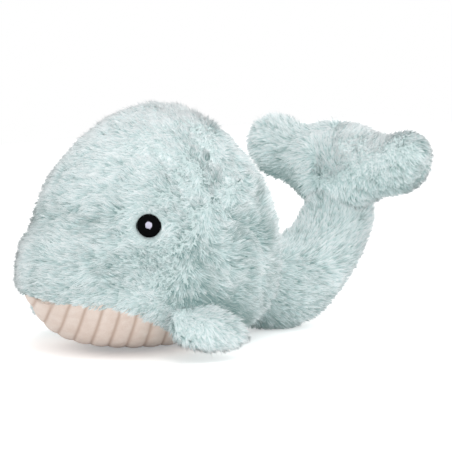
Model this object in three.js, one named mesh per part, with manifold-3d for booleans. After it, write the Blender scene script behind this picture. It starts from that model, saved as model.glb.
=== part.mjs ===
// A plush whale: a sewn fur body on a ribbed belly panel, a stuffed tail that curls up to a two-lobed fluke,
// two flippers and two embroidered eyes. Each sewn cover is a shell of panels round its own stuffing.
// Millimetres, +Z up. The nose points to -X, the tail to +X, and the whale's left side is -Y.
// The origin is the middle of the toy's footprint, on the surface that its belly rests on.
import * as THREE from "three";
import { mergeVertices } from "three/addons/utils/BufferGeometryUtils.js";
import Module from "manifold-3d";

const wasm = await Module();
wasm.setup();

// Cloth and clearances
const clothThickness = 3; // fur or ribbed cloth with its backing
const seamGap = 0.3; // between two panels where they are sewn edge to edge
const stuffingGap = 0.3; // between a cover and its stuffing
const seatGap = 0.35; // between a limb's root and what it is sewn to
const cutOverrun = 40; // how far a cutting block runs past what it cuts

// Body
const bodyHalfLength = 92; // without the snout
const bodyHalfWidth = 71;
const domeHeight = 109; // of the crown above the widest level
const bellyDepth = 55.5; // of the belly below the widest level
const floorFlat = 0.5; // how much of the belly the floor presses flat
const girthHeight = bellyDepth - floorFlat; // of the widest level, above the floor
const domePower = 1.88; // under 2 makes the crown a little pointed
const bellyPower = 2.3; // over 2 makes the belly a little flat
const chinPower = 3.1; // the same at the nose, where the profile is fuller
const planPower = 2.1;
const leanBack = 3; // how far the crown sits behind the chin
const leanFrom = 35;
const leanTo = 100;
const snoutLength = 4; // beyond the rest of the front
const snoutHeight = 47; // of its tip, above the floor
const snoutRise = 31; // how fast it fades above that
const snoutFall = 17; // and below
const snoutSquareness = 0.45; // added to the plan's power, so that the snout is broad
const bodySteps = 14; // from nose to rump
const bodySides = 24;

// Belly panel, of cloth with wide ribs
const seamFrontHeight = 38; // where the panel meets the fur at the nose
const seamRearX = 48; // where the two side seams meet behind
const seamFrontX = -100;
const seamSteps = 18;
// Share of the way from the seam's front end to its rear end, and of its front height.
const seamShares = [
  [0, 1],
  [0.13, 1],
  [0.31, 0.88],
  [0.39, 0.72],
  [0.57, 0.42],
  [0.8, 0.22],
  [1, 0.08],
];
const ribPitch = 12.3; // level, from groove to groove
const ribDepth = 1.1;
const ribTurn = THREE.MathUtils.degToRad(-36.8); // the cloth is cut askew, so its ribs run aslant across the belly
const ribLean = THREE.MathUtils.degToRad(-17.5); // below zero, the ribs' planes lean forward as they go down
const ribStart = 4.1; // from the middle of the body to a groove
const ribPower = 0.6; // under 1 makes a round crest and a narrow groove
const stepsPerRib = 5;
const noseRingShares = [0.04, 0.16, 0.42];
const ribRearReach = 64;
const ribFadeFrom = 4; // the ribs flatten out towards the rear seam
const ribFadeTo = 46;
const ribCoreHeight = 34; // the level that the ribs are measured from
const ribSides = 16;

// Eyes, embroidered
const eyeX = -44.5;
const eyeHeight = 91;
const eyeRadius = 8.6;
const eyeThickness = 1.5;
const eyeSides = 24;
const highlightRadius = 2.4;
const highlightThickness = 0.8;
const highlightForward = 0.4; // it sits a little off the middle
const highlightSides = 12;

// Tail
const tailRootOut = 12; // of the root's middle beyond the body's rump
const tailRootX = bodyHalfLength + tailRootOut;
const tailRootRadius = 31;
const tailFloorGap = 0.5;
const tailRootHeight = tailRootRadius + tailFloorGap;
const tailReach = 63.5; // from the root's middle to the tip's
const tailTipX = tailRootX + tailReach;
const tailRise = 47.5;
const tailTipHeight = tailRootHeight + tailRise;
const tailTipHalfWidth = 25; // across the toy
const tailTipHalfDepth = 21; // front to back
const tailSides = 14;
const tailCapSteps = 3;
// Places along the tail, as shares of the way from its root to its tip along X and Z, with the girth as a share
// of the way from the tip's half width to the root's radius.
const tailSpineShares = [
  [0, 0, 1],
  [0.18, 0, 0.92],
  [0.37, 0.08, 0.7],
  [0.57, 0.25, 0.46],
  [0.76, 0.48, 0.26],
  [0.91, 0.74, 0.1],
  [1, 1, 0],
];
const tailRingShares = [0.13, 0.27, 0.4, 0.52, 0.64, 0.76, 0.88];

// Fluke
const flukeHalfSpan = 92.5;
const flukeBehind = 0.5; // of its middle, behind the tail's tip
const flukeCentreX = tailTipX + flukeBehind;
const flukeRise = 34.5; // of its middle above the tail's tip
const flukeCentreHeight = tailTipHeight + flukeRise;
const flukeHalfHeight = 28;
const flukeHalfDepth = 18.5;
const flukeTilt = THREE.MathUtils.degToRad(11); // leans back from the upright
const flukeTipForward = 5; // the lobes' ends curl forward
const flukeSteps = 16;
const flukeSides = 12;
// Share of the half span; then the top and bottom edges and the thickness, as shares of the half height and depth.
const flukeOutlineShares = [
  [0, 1, -1.22, 1],
  [0.18, 0.98, -1.18, 0.98],
  [0.38, 0.79, -0.86, 0.86],
  [0.52, 0.77, -0.66, 0.8],
  [0.66, 0.92, -0.6, 0.84],
  [0.8, 0.98, -0.5, 0.84],
  [0.9, 0.88, -0.3, 0.7],
  [0.97, 0.64, 0.04, 0.42],
  [1, 0.38, 0.3, 0.04],
];

// Flippers
const flipperRootX = -16.5;
const flipperRootHeight = 32;
const flipperReach = 33; // from the root seam to the outer edge
const flipperDroop = THREE.MathUtils.degToRad(40); // below the horizontal
const flipperSweep = 9; // how far the outer edge trails back
const flipperHalfChord = 28;
const flipperHalfThickness = 8.5;
const flipperRootRadius = 4;
const flipperRootSunk = 2.2; // how deep the root sits in the body's cloth
const flipperSteps = 6;
const flipperSides = 10;
const flipperCapSteps = 2;
// Share of the reach; then the half chord and half thickness as shares of their greatest.
const flipperOutlineShares = [
  [0, 0.66, flipperRootRadius / flipperHalfThickness],
  [0.18, 0.8, 0.74],
  [0.4, 0.97, 1],
  [0.6, 1, 0.98],
  [0.8, 0.84, 0.78],
  [0.93, 0.52, 0.48],
  [1, 0.08, 0.06],
];

const furMaterial = new THREE.MeshStandardMaterial({ color: 0xc3d9d8, roughness: 0.95, metalness: 0 });
const ribbedMaterial = new THREE.MeshStandardMaterial({ color: 0xd8c8be, roughness: 0.9, metalness: 0 });
const stuffingMaterial = new THREE.MeshStandardMaterial({ color: 0xf4f3ef, roughness: 1, metalness: 0 });
const blackThreadMaterial = new THREE.MeshStandardMaterial({ color: 0x0b0b0c, roughness: 0.6, metalness: 0 });
const whiteThreadMaterial = new THREE.MeshStandardMaterial({ color: 0xe4e2f0, roughness: 0.6, metalness: 0 });

const whale = new THREE.Group();

// Solids

function solidOf(geometry) {
  const bare = geometry.clone();
  bare.deleteAttribute("normal");
  bare.deleteAttribute("uv");
  const merged = mergeVertices(bare);
  return new wasm.Manifold(
    new wasm.Mesh({
      numProp: 3,
      vertProperties: new Float32Array(merged.attributes.position.array),
      triVerts: new Uint32Array(merged.index.array),
    }),
  );
}

function geometryOf(solid) {
  const mesh = solid.getMesh();
  const geometry = new THREE.BufferGeometry();
  geometry.setAttribute("position", new THREE.BufferAttribute(new Float32Array(mesh.vertProperties), 3));
  geometry.setIndex(new THREE.BufferAttribute(new Uint32Array(mesh.triVerts), 1));
  return geometry;
}

function addPiece(name, solid, material) {
  const piece = new THREE.Mesh(geometryOf(solid), material);
  piece.name = name;
  whale.add(piece);
}

// A closed skin over rings of equal count, from one end point to the other.
function skinOver(startPoint, rings, endPoint) {
  const sides = rings[0].length;
  const points = [startPoint, ...rings.flat(), endPoint];
  const faces = [];
  const at = (ring, side) => 1 + ring * sides + (side % sides);
  for (let side = 0; side < sides; side += 1) {
    faces.push(0, at(0, side + 1), at(0, side));
    faces.push(points.length - 1, at(rings.length - 1, side), at(rings.length - 1, side + 1));
    for (let ring = 0; ring + 1 < rings.length; ring += 1) {
      faces.push(at(ring, side), at(ring, side + 1), at(ring + 1, side + 1));
      faces.push(at(ring, side), at(ring + 1, side + 1), at(ring + 1, side));
    }
  }
  const geometry = new THREE.BufferGeometry().setFromPoints(points);
  geometry.setIndex(faces);
  const solid = solidOf(geometry);
  if (solid.volume() > 0) return solid;
  const turned = faces.map((corner, i) => faces[i - (i % 3) + [0, 2, 1][i % 3]]);
  geometry.setIndex(turned);
  return solidOf(geometry);
}

function blockBetween(low, high) {
  const size = new THREE.Vector3().subVectors(high, low);
  const block = new THREE.BoxGeometry(size.x, size.y, size.z);
  block.translate(low.x + size.x / 2, low.y + size.y / 2, low.z + size.z / 2);
  return solidOf(block);
}

// Everything on one side of a plane, within the toy's reach.
function halfSpace(normal, through) {
  const reach = bodyHalfLength + flukeCentreX + cutOverrun;
  const block = new THREE.BoxGeometry(2 * reach, 2 * reach, reach);
  block.translate(0, 0, reach / 2);
  block.applyQuaternion(new THREE.Quaternion().setFromUnitVectors(new THREE.Vector3(0, 0, 1), normal));
  block.translate(through.x, through.y, through.z);
  return solidOf(block);
}

function mirrored(solid) {
  return solid.mirror([0, 1, 0]);
}

// A size less what it is sunk, which never quite closes up.
function sunkSize(size, sunk) {
  return Math.max(size - sunk, sunk / 4);
}

// A smooth value between rows of shares, read by the first entry of each row.
function alongShares(rows, where, column) {
  const last = rows.length - 1;
  const k = Math.min(last - 1, Math.max(0, rows.findIndex((row) => row[0] >= where) - 1));
  const before = rows[Math.max(0, k - 1)];
  const after = rows[Math.min(last, k + 2)];
  const [from, to] = [rows[k], rows[k + 1]];
  const t = (where - from[0]) / (to[0] - from[0]);
  const span = to[0] - from[0];
  const slopeIn = (k > 0 ? (to[column] - before[column]) / (to[0] - before[0]) : 0) * span;
  const slopeOut = ((after[column] - from[column]) / (after[0] - from[0])) * span;
  const t2 = t * t;
  const t3 = t2 * t;
  return (
    (2 * t3 - 3 * t2 + 1) * from[column] +
    (t3 - 2 * t2 + t) * slopeIn +
    (3 * t2 - 2 * t3) * to[column] +
    (t3 - t2) * slopeOut
  );
}

// Body form

function leanAt(z) {
  return leanBack * THREE.MathUtils.smoothstep(z, leanFrom, leanTo);
}

// 1 at the level of the snout's tip, fading above and below.
function snoutShareAt(z) {
  const reach = z > snoutHeight ? snoutRise : snoutFall;
  return Math.exp(-Math.pow(Math.abs(z - snoutHeight) / reach, 3));
}

// 1 on the sewn surface, less inside it, more outside.
function bodyMeasure(x, y, z) {
  const above = z > girthHeight;
  const reach = above ? domeHeight : bellyDepth;
  const along = x - leanAt(z);
  const chin = THREE.MathUtils.smoothstep(-along, 0, bodyHalfLength);
  const power = above ? domePower : THREE.MathUtils.lerp(bellyPower, chinPower, chin);
  const snout = along < 0 ? snoutShareAt(z) : 0;
  const around = planPower + snoutSquareness * snout;
  const plan =
    Math.pow(Math.abs(along) / (bodyHalfLength + snoutLength * snout), around) +
    Math.pow(Math.abs(y) / bodyHalfWidth, around);
  return Math.pow(plan, power / around) + Math.pow(Math.abs(z - girthHeight) / reach, power);
}

// Where the ray from a point inside the body meets its surface.
function bodySurface(from, direction) {
  let inside = 0;
  let outside = 3 * bodyHalfLength;
  for (let i = 0; i < 40; i += 1) {
    const middle = (inside + outside) / 2;
    const p = from.clone().addScaledVector(direction, middle);
    if (bodyMeasure(p.x, p.y, p.z) < 1) inside = middle;
    else outside = middle;
  }
  return from.clone().addScaledVector(direction, inside);
}

function bodyNormal(p) {
  const nudge = bodyHalfLength / 1000;
  const slope = (dx, dy, dz) =>
    bodyMeasure(p.x + dx, p.y + dy, p.z + dz) - bodyMeasure(p.x - dx, p.y - dy, p.z - dz);
  return new THREE.Vector3(slope(nudge, 0, 0), slope(0, nudge, 0), slope(0, 0, nudge)).normalize();
}

function bodyPoint(along, around, sunk) {
  const direction = new THREE.Vector3(
    -Math.cos(along),
    Math.sin(along) * Math.cos(around),
    Math.sin(along) * Math.sin(around),
  );
  const p = bodySurface(new THREE.Vector3(0, 0, girthHeight), direction);
  return p.addScaledVector(bodyNormal(p), -sunk);
}

function bodyForm(sunk, steps, sides) {
  const rings = [];
  for (let i = 1; i < steps; i += 1) {
    const ring = [];
    for (let j = 0; j < sides; j += 1) {
      ring.push(bodyPoint((Math.PI * i) / steps, (2 * Math.PI * j) / sides, sunk));
    }
    rings.push(ring);
  }
  return skinOver(bodyPoint(0, 0, sunk), rings, bodyPoint(Math.PI, 0, sunk));
}

// The belly's ribs stand in planes that lean as they go down. The foremost planes close in on the chin.
function ribbedForm() {
  const along = new THREE.Vector3(Math.cos(ribTurn), Math.sin(ribTurn), 0);
  const across = new THREE.Vector3(-Math.sin(ribTurn), Math.cos(ribTurn), 0);
  const down = along.clone().multiplyScalar(Math.sin(ribLean));
  down.z = -Math.cos(ribLean);
  const core = new THREE.Vector3(0, 0, ribCoreHeight);
  const chin = bodySurface(core, along.clone().negate());
  const chinReach = -chin.distanceTo(core);
  const step = ribPitch / stepsPerRib;
  const first = Math.ceil((chinReach + ribDepth - ribStart) / step);
  const last = Math.floor((ribRearReach - ribStart) / step);
  const places = noseRingShares.map((share) => THREE.MathUtils.lerp(chinReach, ribStart + first * step, share));
  for (let i = first; i <= last; i += 1) places.push(ribStart + i * step);
  const rings = places.map((reach) => {
    const crest = Math.pow(Math.abs(Math.sin((Math.PI * (reach - ribStart)) / ribPitch)), ribPower);
    const ring = [];
    for (let j = 0; j < ribSides; j += 1) {
      const turn = (2 * Math.PI * j) / ribSides;
      const direction = down.clone().multiplyScalar(Math.cos(turn)).addScaledVector(across, Math.sin(turn));
      const p = bodySurface(core.clone().addScaledVector(along, reach), direction);
      const groove = ribDepth * (1 - crest) * (1 - THREE.MathUtils.smoothstep(p.x, ribFadeFrom, ribFadeTo));
      ring.push(p.addScaledVector(bodyNormal(p), -groove));
    }
    return ring;
  });
  return skinOver(chin, rings, core.clone().addScaledVector(along, ribStart + last * step));
}

// The space under the seam between the fur and the belly panel, seen from the side and run right across.
function underSeam(lift) {
  const outline = new THREE.Shape();
  const low = -cutOverrun;
  outline.moveTo(seamFrontX - cutOverrun, low);
  outline.lineTo(seamFrontX - cutOverrun, seamFrontHeight + lift);
  for (let i = 0; i <= seamSteps; i += 1) {
    const share = i / seamSteps;
    const x = seamFrontX + share * (seamRearX - seamFrontX);
    outline.lineTo(x, seamFrontHeight * alongShares(seamShares, share, 1) + lift);
  }
  outline.lineTo(seamRearX, low);
  const across = 2 * (bodyHalfWidth + cutOverrun);
  const prism = new THREE.ExtrudeGeometry(outline, { depth: across, bevelEnabled: false });
  prism.rotateX(Math.PI / 2);
  prism.translate(0, across / 2, 0);
  return solidOf(prism);
}

// Tail form

const tailRoot = new THREE.Vector3(tailRootX, 0, tailRootHeight);
const tailTip = new THREE.Vector3(tailTipX, 0, tailTipHeight);
const tailSpine = new THREE.CatmullRomCurve3(
  tailSpineShares.map(
    ([alongX, alongZ]) =>
      new THREE.Vector3(
        THREE.MathUtils.lerp(tailRootX, tailTipX, alongX),
        0,
        THREE.MathUtils.lerp(tailRootHeight, tailTipHeight, alongZ),
      ),
  ),
);
const tailGirthCurve = new THREE.CatmullRomCurve3(
  tailSpineShares.map(([, , girth], i) => new THREE.Vector3(i / (tailSpineShares.length - 1), girth, 0)),
);

function ringAcross(centre, heading, halfWidth, halfDepth, sides) {
  const across = new THREE.Vector3(0, 1, 0);
  const deep = new THREE.Vector3().crossVectors(across, heading).normalize();
  const ring = [];
  for (let j = 0; j < sides; j += 1) {
    const turn = (2 * Math.PI * j) / sides;
    ring.push(
      centre
        .clone()
        .addScaledVector(across, halfWidth * Math.cos(turn))
        .addScaledVector(deep, halfDepth * Math.sin(turn)),
    );
  }
  return ring;
}

// The root is part of a ball about the tail's pivot, and the tip is round about the fluke's pivot.
function tailForm(sunk) {
  const rings = [];
  const rootHeading = tailSpine.getTangent(0);
  const rootRadius = tailRootRadius - sunk;
  for (let i = 1; i <= tailCapSteps; i += 1) {
    const turn = (Math.PI / 2) * (i / tailCapSteps);
    const centre = tailRoot.clone().addScaledVector(rootHeading, -rootRadius * Math.cos(turn));
    const radius = rootRadius * Math.sin(turn);
    rings.push(ringAcross(centre, rootHeading, radius, radius, tailSides));
  }
  for (const share of tailRingShares) {
    const girth = tailGirthCurve.getPoint(share).y;
    const halfWidth = THREE.MathUtils.lerp(tailTipHalfWidth, tailRootRadius, girth) - sunk;
    const halfDepth = THREE.MathUtils.lerp(tailTipHalfDepth, tailRootRadius, girth) - sunk;
    rings.push(ringAcross(tailSpine.getPoint(share), tailSpine.getTangent(share), halfWidth, halfDepth, tailSides));
  }
  const tipHeading = tailSpine.getTangent(1);
  const tipDepth = tailTipHalfDepth - sunk;
  for (let i = tailCapSteps; i >= 1; i -= 1) {
    const turn = (Math.PI / 2) * (i / tailCapSteps);
    const centre = tailTip.clone().addScaledVector(tipHeading, tipDepth * Math.cos(turn));
    const share = Math.sin(turn);
    rings.push(ringAcross(centre, tipHeading, (tailTipHalfWidth - sunk) * share, tipDepth * share, tailSides));
  }
  return skinOver(
    tailRoot.clone().addScaledVector(rootHeading, -rootRadius),
    rings,
    tailTip.clone().addScaledVector(tipHeading, tipDepth),
  );
}

// A ball to cut a seat with. Its flat facets are moved out until none is nearer than the round surface.
function seatBall(centre, halfDepth, halfWidth, grown) {
  const facetShare = Math.pow(Math.cos(Math.PI / tailSides), 2);
  const ball = new THREE.SphereGeometry(1 / facetShare, tailSides, tailSides / 2);
  ball.rotateX(Math.PI / 2);
  ball.scale(halfDepth + grown, halfWidth + grown, halfDepth + grown);
  ball.translate(centre.x, centre.y, centre.z);
  return solidOf(ball);
}

function tailRootBall(grown) {
  return seatBall(tailRoot, tailRootRadius, tailRootRadius, grown);
}

function tailTipBall(grown) {
  return seatBall(tailTip, tailTipHalfDepth, tailTipHalfWidth, grown);
}

// Fluke form

const flukeUp = new THREE.Vector3(Math.sin(flukeTilt), 0, Math.cos(flukeTilt));
const flukeBack = new THREE.Vector3(Math.cos(flukeTilt), 0, -Math.sin(flukeTilt));
const flukeCentre = new THREE.Vector3(flukeCentreX, 0, flukeCentreHeight);

function flukeRing(turn, sunk) {
  const out = -Math.cos(turn); // from -1 at the left lobe's end to 1 at the right one's
  const where = Math.abs(out);
  const top = alongShares(flukeOutlineShares, where, 1) * flukeHalfHeight;
  const bottom = alongShares(flukeOutlineShares, where, 2) * flukeHalfHeight;
  const depth = alongShares(flukeOutlineShares, where, 3) * flukeHalfDepth;
  const centre = flukeCentre
    .clone()
    .addScaledVector(flukeUp, (top + bottom) / 2)
    .addScaledVector(flukeBack, -flukeTipForward * where * where);
  centre.y = out * (flukeHalfSpan - sunk);
  const ring = [];
  for (let j = 0; j < flukeSides; j += 1) {
    const around = (2 * Math.PI * j) / flukeSides;
    const p = centre
      .clone()
      .addScaledVector(flukeUp, sunkSize((top - bottom) / 2, sunk) * Math.sin(around))
      .addScaledVector(flukeBack, sunkSize(depth, sunk) * Math.cos(around));
    ring.push(p);
  }
  return ring;
}

function flukeForm(sunk) {
  const rings = [];
  for (let i = 1; i < flukeSteps; i += 1) rings.push(flukeRing((Math.PI * i) / flukeSteps, sunk));
  const end = (side) => {
    const edge = flukeOutlineShares[flukeOutlineShares.length - 1];
    const p = flukeCentre
      .clone()
      .addScaledVector(flukeUp, ((edge[1] + edge[2]) / 2) * flukeHalfHeight)
      .addScaledVector(flukeBack, -flukeTipForward);
    p.y = side * (flukeHalfSpan - sunk);
    return p;
  };
  return skinOver(end(-1), rings, end(1));
}

// Flipper form, on the left side

const flipperSeat = bodySurface(
  new THREE.Vector3(flipperRootX, 0, flipperRootHeight),
  new THREE.Vector3(0, -1, 0),
);
const flipperOut = bodyNormal(flipperSeat).setZ(0).normalize();
const flipperAlong = new THREE.Vector3(-flipperOut.y, flipperOut.x, 0); // the root seam's line, to the rear
const flipperPivot = flipperSeat.clone().addScaledVector(flipperOut, flipperRootRadius - flipperRootSunk);
const flipperDown = flipperOut
  .clone()
  .multiplyScalar(Math.cos(flipperDroop))
  .setZ(-Math.sin(flipperDroop));
const flipperFace = new THREE.Vector3().crossVectors(flipperAlong, flipperDown).normalize();

function flipperForm(sunk) {
  const rings = [];
  const ringAt = (out, halfChord, halfThickness, sweep) => {
    const centre = flipperPivot
      .clone()
      .addScaledVector(flipperDown, out)
      .addScaledVector(flipperAlong, sweep);
    const ring = [];
    for (let j = 0; j < flipperSides; j += 1) {
      const around = (2 * Math.PI * j) / flipperSides;
      ring.push(
        centre
          .clone()
          .addScaledVector(flipperAlong, sunkSize(halfChord, sunk) * Math.cos(around))
          .addScaledVector(flipperFace, sunkSize(halfThickness, sunk) * Math.sin(around)),
      );
    }
    return ring;
  };
  const rootChord = flipperOutlineShares[0][1] * flipperHalfChord;
  const rootRound = flipperRootRadius - sunk;
  for (let i = 1; i < flipperCapSteps; i += 1) {
    const turn = (Math.PI / 2) * (i / flipperCapSteps);
    const rounded = rootRound * Math.sin(turn) + sunk;
    rings.push(ringAt(-rootRound * Math.cos(turn), rootChord - flipperRootRadius + rounded, rounded, 0));
  }
  for (let i = 0; i < flipperSteps; i += 1) {
    const share = Math.sin((Math.PI / 2) * (i / flipperSteps));
    rings.push(
      ringAt(
        share * (flipperReach - sunk),
        alongShares(flipperOutlineShares, share, 1) * flipperHalfChord,
        alongShares(flipperOutlineShares, share, 2) * flipperHalfThickness,
        flipperSweep * share * share,
      ),
    );
  }
  return skinOver(
    flipperPivot.clone().addScaledVector(flipperDown, -rootRound),
    rings,
    flipperPivot
      .clone()
      .addScaledVector(flipperDown, flipperReach - sunk)
      .addScaledVector(flipperAlong, flipperSweep),
  );
}

// The groove that a flipper's root lies in.
function flipperGroove() {
  const facetShare = Math.cos(Math.PI / flipperSides);
  const radius = (flipperRootRadius + seatGap) / facetShare;
  const long = 2 * (flipperHalfChord * flipperOutlineShares[0][1] + seatGap);
  const groove = new THREE.CylinderGeometry(radius, radius, long, flipperSides);
  groove.applyQuaternion(new THREE.Quaternion().setFromUnitVectors(new THREE.Vector3(0, 1, 0), flipperAlong));
  groove.translate(flipperPivot.x, flipperPivot.y, flipperPivot.z);
  return solidOf(groove);
}

// A cover's shell and its stuffing, from a form that can be sunk below its own surface.
function coverOf(form) {
  return form(0).subtract(form(clothThickness));
}

function stuffingOf(form) {
  return form(clothThickness + stuffingGap);
}

function splitAt(shell, normal, through) {
  const half = seamGap / 2;
  const front = halfSpace(normal, through.clone().addScaledVector(normal, half));
  const back = halfSpace(normal.clone().negate(), through.clone().addScaledVector(normal, -half));
  return [shell.intersect(front), shell.intersect(back)];
}

const toRight = new THREE.Vector3(0, 1, 0);
const floorPoint = new THREE.Vector3(0, 0, 0);
const aboveFloor = halfSpace(new THREE.Vector3(0, 0, 1), floorPoint);

function buildBody() {
  const form = (sunk) => bodyForm(sunk, bodySteps, bodySides);
  const socket = tailRootBall(seatGap);
  const core = form(clothThickness);
  const furShell = form(0).subtract(core).subtract(socket).intersect(aboveFloor);
  const furOnly = furShell.subtract(underSeam(seamGap));
  const [right, left] = splitAt(furOnly, toRight, floorPoint);
  const groove = flipperGroove();
  addPiece("body_side_panel_left", left.subtract(groove), furMaterial);
  addPiece("body_side_panel_right", right.subtract(mirrored(groove)), furMaterial);
  const panel = ribbedForm().subtract(core).intersect(underSeam(0)).subtract(socket).intersect(aboveFloor);
  addPiece("belly_panel", panel, ribbedMaterial);
  const stuffing = stuffingOf(form).subtract(tailRootBall(seatGap + clothThickness)).intersect(aboveFloor);
  addPiece("body_stuffing", stuffing, stuffingMaterial);
}

// A thin round patch that follows the body's cloth, between two heights above it. The left side is -1.
function eyePatch(side, radius, from, to, sides, forward) {
  const middle = bodySurface(new THREE.Vector3(eyeX, 0, eyeHeight), new THREE.Vector3(0, side, 0));
  const normal = bodyNormal(middle);
  const punch = new THREE.CylinderGeometry(radius, radius, 4 * eyeRadius, sides);
  punch.applyQuaternion(new THREE.Quaternion().setFromUnitVectors(new THREE.Vector3(0, 1, 0), normal));
  const shift = new THREE.Vector3(-1, 0, 0).projectOnPlane(normal).normalize().multiplyScalar(forward);
  punch.translate(middle.x + shift.x, middle.y + shift.y, middle.z + shift.z);
  const layer = bodyForm(-to, bodySteps, bodySides).subtract(bodyForm(-from, bodySteps, bodySides));
  const sideOnly = halfSpace(normal, middle.clone().addScaledVector(normal, -eyeRadius));
  return layer.intersect(solidOf(punch)).intersect(sideOnly);
}

function buildEyes() {
  const top = seatGap + eyeThickness;
  const under = top + seatGap;
  for (const [name, side] of [["eye_left", -1], ["eye_right", 1]]) {
    const pupil = eyePatch(side, eyeRadius, seatGap, top, eyeSides, 0);
    const highlight = eyePatch(
      side, highlightRadius, under, under + highlightThickness, highlightSides, highlightForward,
    );
    addPiece(name + "_pupil", pupil, blackThreadMaterial);
    addPiece(name + "_highlight", highlight, whiteThreadMaterial);
  }
}

function buildTail() {
  const [right, left] = splitAt(coverOf(tailForm).intersect(aboveFloor), toRight, tailRoot);
  addPiece("tail_panel_left", left, furMaterial);
  addPiece("tail_panel_right", right, furMaterial);
  addPiece("tail_stuffing", stuffingOf(tailForm), stuffingMaterial);
}

function buildFluke() {
  const socket = tailTipBall(seatGap);
  const [back, front] = splitAt(coverOf(flukeForm).subtract(socket), flukeBack, flukeCentre);
  addPiece("fluke_front_panel", front, furMaterial);
  addPiece("fluke_back_panel", back, furMaterial);
  const stuffing = stuffingOf(flukeForm).subtract(tailTipBall(seatGap + clothThickness));
  addPiece("fluke_stuffing", stuffing, stuffingMaterial);
}

function buildFlippers() {
  const [under, upper] = splitAt(coverOf(flipperForm), flipperFace, flipperPivot);
  const stuffing = stuffingOf(flipperForm);
  addPiece("flipper_left_upper_panel", upper, furMaterial);
  addPiece("flipper_left_under_panel", under, furMaterial);
  addPiece("flipper_left_stuffing", stuffing, stuffingMaterial);
  addPiece("flipper_right_upper_panel", mirrored(upper), furMaterial);
  addPiece("flipper_right_under_panel", mirrored(under), furMaterial);
  addPiece("flipper_right_stuffing", mirrored(stuffing), stuffingMaterial);
}

buildBody();
buildEyes();
buildTail();
buildFluke();
buildFlippers();

const footprint = new THREE.Box3().setFromObject(whale);
whale.position.x = -(footprint.min.x + footprint.max.x) / 2;
whale.position.y = -(footprint.min.y + footprint.max.y) / 2;

export default whale;
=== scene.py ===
"""A plush whale: pale blue-green fur sewn to a ribbed belly, a tail that curls up to a two-lobed fluke,
two side flippers, stitched eyes and fibre filling. Each soft piece stands for the CAD node it covers."""

import math

import bmesh
import bpy
import numpy as np
from mathutils import Matrix, Vector
from mathutils.bvhtree import BVHTree
from mathutils.kdtree import KDTree


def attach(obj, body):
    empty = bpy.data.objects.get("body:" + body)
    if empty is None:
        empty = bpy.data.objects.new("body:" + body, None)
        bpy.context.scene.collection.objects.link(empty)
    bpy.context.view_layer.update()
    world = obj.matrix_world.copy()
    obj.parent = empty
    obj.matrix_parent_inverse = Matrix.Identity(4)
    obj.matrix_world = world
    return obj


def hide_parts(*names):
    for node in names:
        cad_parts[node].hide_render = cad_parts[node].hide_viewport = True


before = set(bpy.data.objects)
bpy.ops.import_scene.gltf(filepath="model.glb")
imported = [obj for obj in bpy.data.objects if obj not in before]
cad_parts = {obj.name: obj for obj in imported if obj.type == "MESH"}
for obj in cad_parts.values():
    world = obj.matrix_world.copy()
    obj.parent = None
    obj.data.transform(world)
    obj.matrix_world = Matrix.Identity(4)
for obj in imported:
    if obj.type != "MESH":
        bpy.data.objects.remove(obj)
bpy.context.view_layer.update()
scene = bpy.context.scene

# Studio
# A white paper sweep under three big soft lamps, seen a little from above and from the toy's left front.
# The paper is matt and shows no grain, only the soft shadow that the toy leaves on it.


def linear(hex_colour):
    """An sRGB colour such as 0xC3D9D8, as the linear numbers that Blender wants."""
    parts = [(hex_colour >> shift & 255) / 255 for shift in (16, 8, 0)]
    return (*[c / 12.92 if c <= 0.04045 else ((c + 0.055) / 1.055) ** 2.4 for c in parts], 1.0)


def put(tree, kind, settings=None, **links):
    """Adds a node; settings are its properties or socket values, and links are socket=output pairs, in
    which _0 is the first socket."""
    made = tree.nodes.new(kind)
    for key, value in (settings or {}).items():
        if isinstance(key, str) and hasattr(made, key):
            setattr(made, key, value)
        else:
            made.inputs[key].default_value = value
    for key, output in links.items():
        socket = made.inputs[int(key[1:])] if key[0] == "_" else made.inputs[key.replace("_", " ")]
        tree.links.new(output, socket)
    return made


def blank_material(name):
    made = bpy.data.materials.new(name)
    made.use_nodes = True
    made.node_tree.nodes.clear()
    return made, made.node_tree


def finish_material(tree, shader):
    put(tree, "ShaderNodeOutputMaterial", Surface=shader.outputs[0])


def seen_share(tree):
    """1 for rays that reach the camera, straight or by way of gloss or glass, and 0 for the others."""
    rays = put(tree, "ShaderNodeLightPath").outputs
    most = {"operation": "MAXIMUM"}
    seen = put(tree, "ShaderNodeMath", most, _0=rays["Is Camera Ray"], _1=rays["Is Glossy Ray"])
    seen = put(tree, "ShaderNodeMath", most, _0=seen.outputs[0], _1=rays["Is Transmission Ray"])
    return seen.outputs[0]


def way_out(azimuth, height):
    """The way out from the toy, in degrees round from its left side and up from the floor."""
    around, above = math.radians(azimuth), math.radians(height)
    level = math.cos(above)
    return Vector((math.sin(around) * level, -math.cos(around) * level, math.sin(above)))


sight = way_out(-38, 7.5)
sight_target, sight_distance = Vector((0.0134, -0.0064, 0.0771)), 2.5
camera = bpy.data.objects.new("camera", bpy.data.cameras.new("camera"))
scene.collection.objects.link(camera)
camera.data.lens, camera.data.sensor_width = 287, 36
camera.data.clip_end = 50
camera.location = sight_target + sight * sight_distance
camera.rotation_mode = "QUATERNION"
camera.rotation_quaternion = sight.to_track_quat("Z", "Y")
scene.camera = camera

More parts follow.
